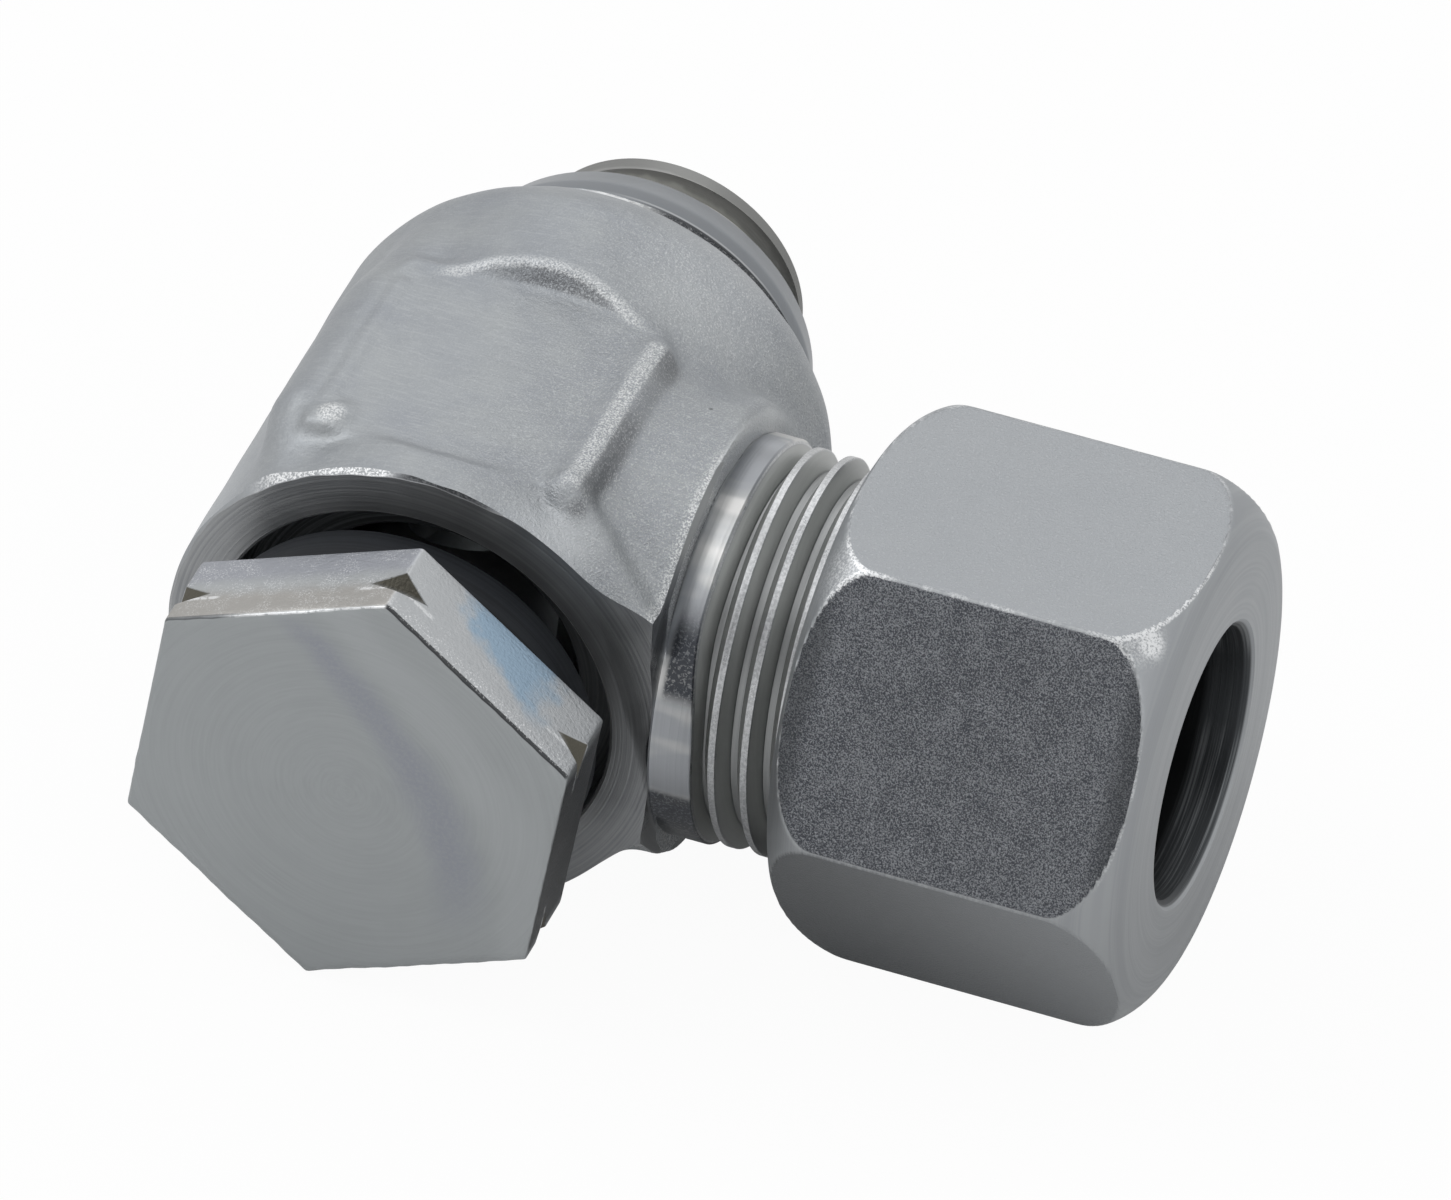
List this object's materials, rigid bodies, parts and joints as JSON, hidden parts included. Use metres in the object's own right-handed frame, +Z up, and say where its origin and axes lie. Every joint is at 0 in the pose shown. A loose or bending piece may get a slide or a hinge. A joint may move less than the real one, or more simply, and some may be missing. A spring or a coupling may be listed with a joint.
{
  "type": "banjo fitting",
  "caption": "Swivel fitting for a hydraulic tube: forged body with a hollow hex bolt through it and a threaded side branch with a hexagon union nut.",
  "frame": {"origin": "on the hollow bolt's axis, in the middle of its port thread as the picture shows the bolt, backed out by 3.3 mm", "axes": "+Y along the hollow bolt towards the port, so the hex head faces -Y; +X along the tube branch towards the union nut's open end; +Z up, out of the upper forged pad. The fitting lies on its flat underside and on the nut's lower flat."},
  "size_m": [0.0456, 0.0402, 0.0229],
  "materials": {
    "forged_steel": "zinc-nickel plated, satin forged skin with turned faces",
    "bolt_steel": "zinc-nickel plated, turned and broached",
    "black_seal": "black elastomer",
    "seal_steel": "plain turned steel",
    "nut_steel": "zinc-nickel plated, satin",
    "ring_steel": "zinc plated, turned"
  },
  "bodies": {
    "housing": {"body": "forged_steel", "port_seal": "seal_steel"},
    "shank_ring": {"head_seal": "black_seal"},
    "hollow_bolt": {"banjo_bolt": "bolt_steel"},
    "tube_ring": {"cutting_ring": "ring_steel"},
    "hex_nut": {"union_nut": "nut_steel"}
  },
  "joints": [
    {"name": "bolt_slide", "type": "slide", "parent": "housing", "child": "shank_ring", "axis": [0, 1, 0], "range_m": [-0.033, 0.0033]},
    {"name": "bolt_spin", "type": "hinge", "parent": "shank_ring", "child": "hollow_bolt", "pos_m": [0, -0.0213, 0], "axis": [0, 1, 0], "continuous": true},
    {"name": "ring_slide", "type": "slide", "parent": "housing", "child": "tube_ring", "axis": [1, 0, 0], "range_m": [0, 0.0075]},
    {"name": "nut_screw", "type": "hinge", "parent": "tube_ring", "child": "hex_nut", "pos_m": [0.025, -0.0213, 0], "axis": [1, 0, 0], "range_deg": [0, 1800]}
  ],
  "couplings": [
    {"joint": "ring_slide", "follows": "nut_screw", "m_per_rad": 0.00023873}
  ]
}
